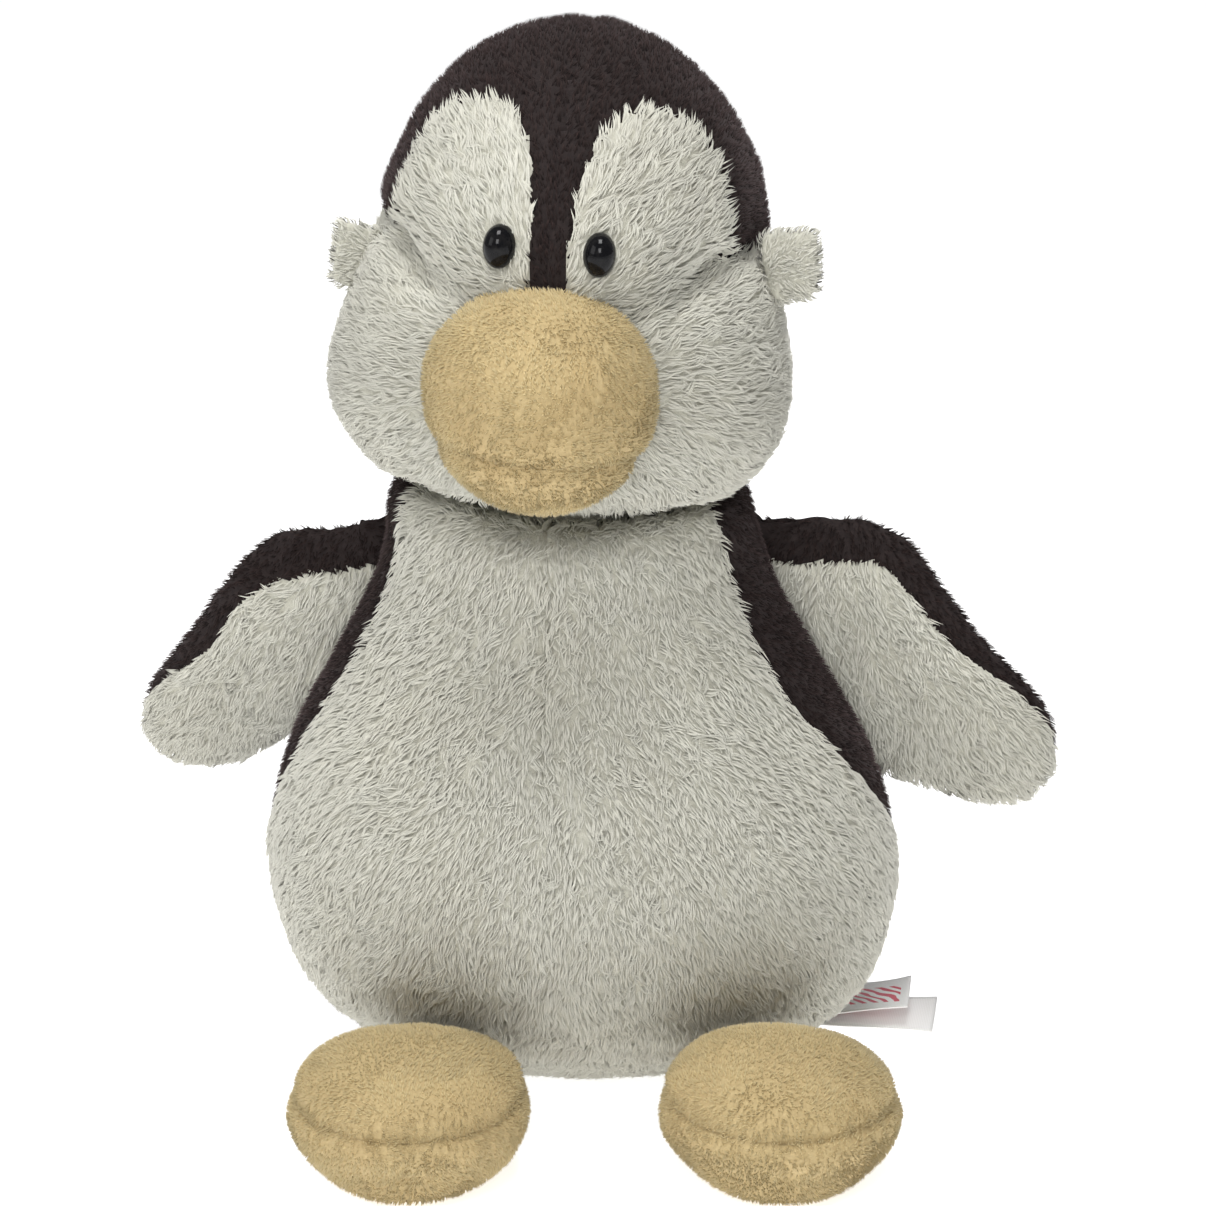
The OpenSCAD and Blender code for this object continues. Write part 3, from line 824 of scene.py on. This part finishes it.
# The backing colours match the pile's darker roots and middles: painted shade under the pile.
CREAM_CLOTH = cloth_material("cream_cloth", (0.50, 0.49, 0.41), (0.60, 0.59, 0.51), (0.50, 0.48, 0.40),
                             0.9, 0.2, (1, 0.99, 0.94))
BROWN_CLOTH = cloth_material("brown_cloth", (0.012, 0.008, 0.008), (0.024, 0.016, 0.015),
                             (0.018, 0.012, 0.011), 0.9, 0.1, (0.7, 0.55, 0.55))
YELLOW_CLOTH = cloth_material("yellow_cloth", (0.41, 0.31, 0.155), (0.52, 0.41, 0.22), (0.46, 0.34, 0.175),
                              0.9, 0.2, (1, 0.9, 0.65))
FILLING = plain_material("polyester_filling", (0.78, 0.78, 0.75), (0.90, 0.90, 0.88), 260, 0.95, 1.2, 0.2)
BAG_CLOTH = plain_material("bag_linen", (0.60, 0.56, 0.46), (0.72, 0.68, 0.58), 700, 0.9, 0.3, 0.2)
PELLETS = plain_material("plastic_pellets", (0.70, 0.70, 0.68), (0.92, 0.92, 0.90), 420, 0.45, 1.5)
WASHER = plain_material("washer_nylon", (0.72, 0.72, 0.70), (0.80, 0.80, 0.78), 150, 0.5, 0.1)
PAPER = plain_material("studio_paper", (0.90, 0.90, 0.90), (0.92, 0.92, 0.92), 8, 0.9, 0.1, 0.1)
PAPER.node_tree.nodes["Principled BSDF"].inputs["Emission Color"].default_value = (1, 1, 1, 1)
PAPER.node_tree.nodes["Principled BSDF"].inputs["Emission Strength"].default_value = 0.72


def eye_material():
    """Black glossy plastic with a trace of dust."""
    material, tree, shader = start_material("eye_black_gloss", 0.08, specular=0.16)
    dust = noise_texture(tree, 600, 4, 0.6)
    colour = ramp(tree, dust.outputs["Fac"], [(0.45, (0.004, 0.004, 0.005)), (0.8, (0.014, 0.013, 0.013))])
    tree.links.new(colour, shader.inputs["Base Color"])
    return material


EYE_BLACK = eye_material()


# ---- the parts ----


def on_torso(obj):
    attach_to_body(obj, "torso")


def on_head(obj):
    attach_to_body(obj, "head")


def free_all(points):
    return np.ones(len(points))


def free_torso(points):
    """0 at the neck opening, where the body meets the head, and 1 away from it."""
    return ease(np.linalg.norm(points - HEAD_CENTRE, axis=1), 65 * MM, 78 * MM)


def free_head(points):
    local = in_head(points)
    angle = np.degrees(np.arccos(np.clip(-unit(local)[:, 2], -1, 1)))
    return ease(angle, 36, 50)


def comb_down(points):
    """Down the body, and out to the sides."""
    way = np.zeros_like(points)
    way[:, 2] = -1
    way[:, 0] = (points[:, 0] - BODY_X) / 0.065 * 0.7
    way[:, 1] = 0.15
    return way


def comb_from_beak(points):
    return unit(points - from_head(BEAK_FRONT[None])[0])


def comb_forward(points):
    """The loops of the feet and beak lie slightly forward."""
    way = np.zeros_like(points)
    way[:, 1] = -0.4
    return way


def build_torso():
    cream = 0.6 * MM
    brown = 0.2 * MM
    panels = ["belly_panel_left", "belly_panel_right", "back_panel_left", "back_panel_right", "seat_panel"]
    grooves = {
        frozenset(("belly_panel_left", "belly_panel_right")): (0.5 * MM, 1.2 * MM),
        frozenset(("back_panel_left", "back_panel_right")): (0.9 * MM, 1.4 * MM),
    }
    for side in ("left", "right"):
        grooves[frozenset(("belly_panel_" + side, "back_panel_" + side))] = (1.0 * MM, 1.6 * MM)
        grooves[frozenset(("belly_panel_" + side, "seat_panel"))] = (0.8 * MM, 1.6 * MM)
        grooves[frozenset(("back_panel_" + side, "seat_panel"))] = (0.8 * MM, 1.6 * MM)
    start = joined_copy("torso_form", panels + ["body_stuffing"])
    form = Stuffed("torso", panels, start, 4.2 * MM, 1, [cream, cream, brown, brown, cream],
                   4 * MM, free_torso, grooves)

    def fill_out(points, normals, drawn):
        """The stuffing sinks: the body is fullest low down."""
        low = ease(drawn[:, 2], 0, 25 * MM) * (1 - ease(drawn[:, 2], 80 * MM, 125 * MM))
        points[:, 0] += (points[:, 0] - BODY_X) * 0.045 * low - 0.8 * MM * low
        return points

    form.move(fill_out)
    for seed, panel in enumerate(panels):
        brown_side = panel.startswith("back")
        name = panel.replace("_panel", "")
        cut_panel(form, panel, name + "_cloth", BROWN_CLOTH if brown_side else CREAM_CLOTH, on_torso)
        grow_pile(form, panel, name + "_pile", SHORT_PILE if brown_side else LONG_PILE, comb_down,
                  BROWN_PILE if brown_side else CREAM_PILE, on_torso, 20 + seed, bare=in_dish)
    stuff(form, "body_filling", FILLING, on_torso, ["body_stuffing"], floor_cut=25 * MM)
    return form


def in_dish(points):
    """The middle of the body's hollow top, which the head covers."""
    away = points - HEAD_CENTRE
    near = np.linalg.norm(away, axis=1) < 60 * MM
    return near & (-unit(away)[:, 2] > math.cos(math.radians(22)))


def hidden_on_head(points):
    """In the neck opening, behind the beak and under the eyes no pile grows."""
    local = in_head(points)
    hidden = unit(local)[:, 2] < -math.cos(math.radians(28))
    hidden |= (local[:, 0] / (20 * MM)) ** 2 + ((local[:, 2] + 24 * MM) / (21 * MM)) ** 2 < 1
    hidden &= local[:, 1] < 0.03
    for _, side in SIDES:
        centre = np.array(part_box("eye_left" if side > 0 else "eye_right")).mean(0)
        middle = in_head(centre[None])[0]
        across = (local[:, 0] - middle[0]) / (2.6 * MM)
        up = (local[:, 2] - middle[2]) / (3.9 * MM)
        hidden |= across ** 2 + up ** 2 < 1
    return hidden


def build_head():
    cream = 0.6 * MM
    brown = 0.2 * MM
    panels = ["crown_left", "crown_right", "eye_patch_left", "eye_patch_right", "cheek_left", "cheek_right"]
    grooves = {
        frozenset(("crown_left", "crown_right")): (0.9 * MM, 1.3 * MM),
        frozenset(("cheek_left", "cheek_right")): (0.8 * MM, 1.4 * MM),
    }
    for side in ("left", "right"):
        grooves[frozenset(("eye_patch_" + side, "cheek_" + side))] = (3.4 * MM, 3.6 * MM)
        grooves[frozenset(("eye_patch_" + side, "crown_" + side))] = (0.9 * MM, 1.5 * MM)
        grooves[frozenset(("crown_" + side, "cheek_" + side))] = (1.8 * MM, 2.6 * MM)
    start = ball_copy("head_form", panels)
    rises = [brown, brown, cream, cream, cream, cream]
    form = Stuffed("head", panels, start, 4.0 * MM, 1, rises, 4 * MM, free_head, grooves)

    def fill_cheeks(points, normals, drawn):
        """Round pouches below the fold, and a crease above them."""
        local = unit(in_head(drawn))
        bearing = np.degrees(np.abs(np.arctan2(local[:, 0], -local[:, 1])))
        height = np.degrees(np.arcsin(local[:, 2]))
        pouch = np.exp(-((bearing - 68) / 36) ** 2 - ((height + 39) / 16) ** 2)
        pouch = pouch * ease(height, -58, -50)
        fold = -8 + 14 * ease(bearing, 22, 60)
        crease = np.exp(-((height - fold) / 5) ** 2)
        crease = crease * ease(bearing, 28, 42) * (1 - ease(bearing, 70, 96))
        return points + normals * (4.8 * MM * pouch - 3.4 * MM * crease)[:, None]

    form.move(fill_cheeks)
    for seed, panel in enumerate(panels):
        brown_side = panel.startswith("crown")
        cut_panel(form, panel, panel + "_cloth", BROWN_CLOTH if brown_side else CREAM_CLOTH, on_head)
        grow_pile(form, panel, panel + "_pile", SHORT_PILE if brown_side else LONG_PILE, comb_from_beak,
                  BROWN_PILE if brown_side else CREAM_PILE, on_head, 40 + seed, bare=hidden_on_head)
    stuff(form, "head_filling", FILLING, on_head, ["head_stuffing"])
    return form


def build_beak():
    panels = ["beak_upper", "beak_lower"]
    grooves = {frozenset(panels): (1.5 * MM, 1.6 * MM)}
    form = Stuffed("beak", panels, hull_copy("beak_form", panels), 2.6 * MM, 1, [0.6 * MM, 0.6 * MM],
                   1.5 * MM, free_all, grooves)
    for seed, panel in enumerate(panels):
        cut_panel(form, panel, panel + "_cloth", YELLOW_CLOTH, on_head, SHORT_CLOTH_THICKNESS)
        grow_pile(form, panel, panel + "_pile", LOOP_PILE, comb_forward,
                  YELLOW_PILE, on_head, 60 + seed)
    stuff(form, "beak_filling", FILLING, on_head, ["beak_stuffing"], scale=0.84)
    return form


def wing_hinge(side_name):
    """The middle of the line where a wing is sewn on, and the level way out from it across the seam."""
    for joint in frame["joints"]:
        if joint["name"] == "wing_" + side_name + "_swing":
            place = Vector(joint["pos_m"])
            axis = Vector(joint["axis"]).normalized()
    low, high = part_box("wing_outer_" + side_name)
    out = (low + high) / 2 - place
    out -= axis * out.dot(axis)
    return place, out.normalized()


def skin_tree(obj):
    """A search tree of the form's faces."""
    points = [tuple(v.co) for v in obj.data.vertices]
    return BVHTree.FromPolygons(points, [tuple(p.vertices) for p in obj.data.polygons])


def build_wing(side_name, side, body_skin):
    outer = "wing_outer_" + side_name
    inner = "wing_inner_" + side_name
    panels = [outer, inner]
    place, out = wing_hinge(side_name)
    grooves = {frozenset(panels): (1.0 * MM, 1.5 * MM)}
    form = Stuffed("wing_" + side_name, panels, hull_copy("wing_form", panels), 3.4 * MM, 2,
                   [0.2 * MM, 0.5 * MM], 3 * MM, free_all, grooves)

    def sew_on(points, normals, drawn):
        """Rounds the shoulder up, and lays the root's edge on the body, where it is sewn down.

        The left shoulder stands up more, and the right wing's tip hangs lower.
        """
        along = (drawn - np.array(place)) @ np.array(out)
        high = ease(drawn[:, 2], 96 * MM, 130 * MM)
        reach = 28 * MM if side > 0 else 18 * MM
        lift = np.array([7.5, 0, 5.0]) if side > 0 else np.array([-3.5, 0, 3.0])
        shoulder = high * ease(along, -8 * MM, 6 * MM) * (1 - ease(along, reach, reach + 32 * MM))
        points = points + shoulder[:, None] * lift * MM
        if side < 0:
            points = points + ease(along, 20 * MM, 60 * MM)[:, None] * np.array([2.0, 0, -5.0]) * MM
        share = 1 - ease(along, -3 * MM, 11 * MM)
        for index in np.flatnonzero(share > 0):
            near, facing, _, _ = body_skin.find_nearest(Vector(points[index]))
            target = np.array(near - facing * 1.2 * MM)
            points[index] += (target - points[index]) * share[index]
        return points

    def comb_wing(points):
        way = points - np.array(place)
        way[:, 2] -= 0.02
        return unit(way)

    def on_wing(obj):
        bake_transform(obj)

    form.move(sew_on)
    cut_panel(form, outer, outer + "_cloth", BROWN_CLOTH, on_wing)
    cut_panel(form, inner, inner + "_cloth", CREAM_CLOTH, on_wing)
    grow_pile(form, outer, outer + "_pile", SHORT_PILE, comb_wing, BROWN_PILE, on_wing, 70 + side)
    grow_pile(form, inner, inner + "_pile", LONG_PILE, comb_wing, CREAM_PILE, on_wing, 75 + side)
    stuff(form, "wing_filling_" + side_name, FILLING, on_wing, ["wing_stuffing_" + side_name], scale=0.8)
    return form


def build_foot(side_name, side):
    upper = "foot_upper_" + side_name
    sole = "foot_sole_" + side_name

    def on_foot(obj):
        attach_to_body(obj, "foot_" + side_name)

    panels = [upper, sole]
    grooves = {frozenset(panels): (1.1 * MM, 1.2 * MM)}
    form = Stuffed("foot_" + side_name, panels, hull_copy("foot_form", panels), 3.2 * MM, 1,
                   [0.8 * MM, 0.8 * MM], 2 * MM, free_all, grooves)

    def sew_toe(points, normals, drawn):
        """The short seam down the middle of the toe, and the toe's underside lifted off the floor."""
        across = np.abs(drawn[:, 0] - side * FOOT_X)
        front = ease(FOOT_Y - drawn[:, 1], 12 * MM, 20 * MM)
        low = 1 - ease(drawn[:, 2], 21 * MM, 26 * MM)
        depth = 1.3 * MM * np.exp(-(across / (1.4 * MM)) ** 2) * front * low
        points = points - normals * depth[:, None]
        toe = ease(FOOT_Y - drawn[:, 1], 4 * MM, 30 * MM) * (1 - ease(drawn[:, 2], 4 * MM, 24 * MM))
        points[:, 2] += 4.0 * MM * toe
        points[:, 0] += (points[:, 0] - side * FOOT_X) * 0.05
        return points

    form.move(sew_toe)
    cut_panel(form, upper, upper + "_cloth", YELLOW_CLOTH, on_foot, SHORT_CLOTH_THICKNESS)
    cut_panel(form, sole, sole + "_cloth", YELLOW_CLOTH, on_foot, SHORT_CLOTH_THICKNESS)
    grow_pile(form, upper, upper + "_pile", LOOP_PILE, comb_forward, YELLOW_PILE, on_foot, 80 + side)
    grow_pile(form, sole, sole + "_pile", LOOP_PILE, comb_forward, YELLOW_PILE, on_foot, 84 + side)
    stuff(form, "foot_filling_" + side_name, FILLING, on_foot, ["foot_stuffing_" + side_name])
    return form


def build_tuft(side_name, side):
    """The small flat corner of plush that stands out at the temple."""
    panel = "cheek_tuft_" + side_name
    form = Stuffed("tuft_" + side_name, [panel], hull_copy("tuft_form", [panel]), 1.3 * MM, 1, [0.3 * MM],
                   0.4 * MM, free_all, {})
    low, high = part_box(panel)
    root = np.array((low + high) / 2) - np.array([side * 9 * MM, 0, 2 * MM])

    def comb_tuft(points):
        return unit(points - root) + np.array([0, 0, 0.2])

    def tuck_in(points, normals, drawn):
        return points + (np.array([-1.5, 0, 2.5]) if side > 0 else np.array([5.0, 0, -4.5])) * MM

    form.move(tuck_in)
    cut_panel(form, panel, panel + "_cloth", CREAM_CLOTH, on_head, 0.8 * MM)
    grow_pile(form, panel, panel + "_pile", TUFT_PILE, comb_tuft, CREAM_PILE, on_head, 90 + side)
    return form


def satin_material(name, printed):
    """White woven satin; printed adds a short row of plain red strokes that say nothing."""
    material, tree, shader = start_material(name, 0.42, 0.2, specular=0.4)
    uv = add_node(tree, "ShaderNodeUVMap", uv_map="UVMap")
    weave = add_node(tree, "ShaderNodeTexWave", wave_type="BANDS", bands_direction="X")
    weave.inputs["Scale"].default_value = 26
    weave.inputs["Distortion"].default_value = 0.6
    tree.links.new(uv.outputs["UV"], weave.inputs["Vector"])
    colour = ramp(tree, weave.outputs["Fac"], [(0.0, (0.84, 0.83, 0.81)), (1.0, (0.93, 0.92, 0.91))])
    if printed:
        split = add_node(tree, "ShaderNodeSeparateXYZ")
        tree.links.new(uv.outputs["UV"], split.inputs[0])
        strokes = add_node(tree, "ShaderNodeTexWave", wave_type="RINGS", rings_direction="SPHERICAL")
        strokes.inputs["Scale"].default_value = 3.2
        strokes.inputs["Distortion"].default_value = 5.0
        strokes.inputs["Detail"].default_value = 1.0
        tree.links.new(uv.outputs["UV"], strokes.inputs["Vector"])
        ink = add_node(tree, "ShaderNodeMath", operation="GREATER_THAN")
        ink.inputs[1].default_value = 0.55
        tree.links.new(strokes.outputs["Fac"], ink.inputs[0])
        across = limits(tree, split.outputs["Y"], 0.22, 0.78)
        along = limits(tree, split.outputs["X"], 0.28, 0.92)
        inside = add_node(tree, "ShaderNodeMath", operation="MULTIPLY")
        tree.links.new(across, inside.inputs[0])
        tree.links.new(along, inside.inputs[1])
        mask = add_node(tree, "ShaderNodeMath", operation="MULTIPLY")
        tree.links.new(inside.outputs[0], mask.inputs[0])
        tree.links.new(ink.outputs[0], mask.inputs[1])
        mixed = add_node(tree, "ShaderNodeMix", data_type="RGBA")
        mixed.inputs["B"].default_value = (0.62, 0.05, 0.09, 1)
        tree.links.new(mask.outputs[0], mixed.inputs["Factor"])
        tree.links.new(colour, mixed.inputs["A"])
        colour = mixed.outputs["Result"]
    tree.links.new(colour, shader.inputs["Base Color"])
    return material


def limits(tree, value, low, high):
    """1 where a value lies between low and high."""
    above = add_node(tree, "ShaderNodeMath", operation="GREATER_THAN")
    above.inputs[1].default_value = low
    tree.links.new(value, above.inputs[0])
    below = add_node(tree, "ShaderNodeMath", operation="LESS_THAN")
    below.inputs[1].default_value = high
    tree.links.new(value, below.inputs[0])
    both = add_node(tree, "ShaderNodeMath", operation="MULTIPLY")
    tree.links.new(above.outputs[0], both.inputs[0])
    tree.links.new(below.outputs[0], both.inputs[1])
    return both.outputs[0]


def build_label(node, width, length, low, rise, curl, finish):
    """A satin leaf that is sewn into the seam at the penguin's left hip and curls a little."""
    deselect()
    bpy.ops.mesh.primitive_grid_add(x_subdivisions=28, y_subdivisions=12, size=1)
    obj = bpy.context.active_object
    obj.name = node + "_satin"
    flat = read_points(obj.data)
    u = flat[:, 0] + 0.5
    v = flat[:, 1]
    height = curl * u ** 2 + 0.5 * MM * np.sin(u * 5 + v * 3) * u
    leaf = np.stack((u * length, v * width, height), axis=1)
    turn = Matrix.Rotation(math.radians(-8), 3, "Z") @ Matrix.Rotation(math.radians(rise), 3, "Y")
    turn = turn @ Matrix.Rotation(math.radians(6), 3, "X")
    start = np.array([48.5 * MM, 2 * MM, low])
    write_points(obj.data, leaf @ np.array(turn).T + start)
    thickness = obj.modifiers.new("satin", "SOLIDIFY")
    thickness.thickness = 0.3 * MM
    apply_modifier(obj, thickness)
    bpy.ops.object.shade_smooth()
    obj.data.materials.append(finish)
    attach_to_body(obj, "torso")
    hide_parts(node)


def build_neck():
    """The thin pad the head turns on: only its middle, which the fur around it hides."""
    obj = joined_copy("neck_pad", ["neck_stuffing"])
    points = read_points(obj.data)
    centre = np.array([HEAD_CENTRE[0], HEAD_CENTRE[1]])
    points[:, :2] = centre + (points[:, :2] - centre) * 0.78
    write_points(obj.data, points)
    obj.data.materials.clear()
    obj.data.materials.append(CREAM_CLOTH)
    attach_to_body(obj, "neck")
    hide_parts("neck_stuffing")


def finish_hard_parts():
    """Gives the carried-over frame nodes their materials."""
    finishes = {
        "eye_left": EYE_BLACK,
        "eye_right": EYE_BLACK,
        "eye_washer_left": WASHER,
        "eye_washer_right": WASHER,
        "pellet_bag": BAG_CLOTH,
        "pellet_fill": PELLETS,
    }
    for node, finish in finishes.items():
        mesh = nodes[node].data
        mesh.materials.clear()
        mesh.materials.append(finish)


place_camera()
light_studio()
lay_floor(PAPER)
forms = [build_torso(), build_head(), build_beak()]
torso_skin = skin_tree(forms[0].obj)
for side_name, side in SIDES:
    forms.append(build_wing(side_name, side, torso_skin))
    forms.append(build_foot(side_name, side))
    forms.append(build_tuft(side_name, side))
build_label("name_label", 16 * MM, 27 * MM, 8.5 * MM, -4, 2.0 * MM, satin_material("printed_satin", True))
build_label("care_label", 18 * MM, 33 * MM, 7.3 * MM, 3, 1.2 * MM, satin_material("plain_satin", False))
build_neck()
finish_hard_parts()
for form in forms:
    bpy.data.objects.remove(form.obj)
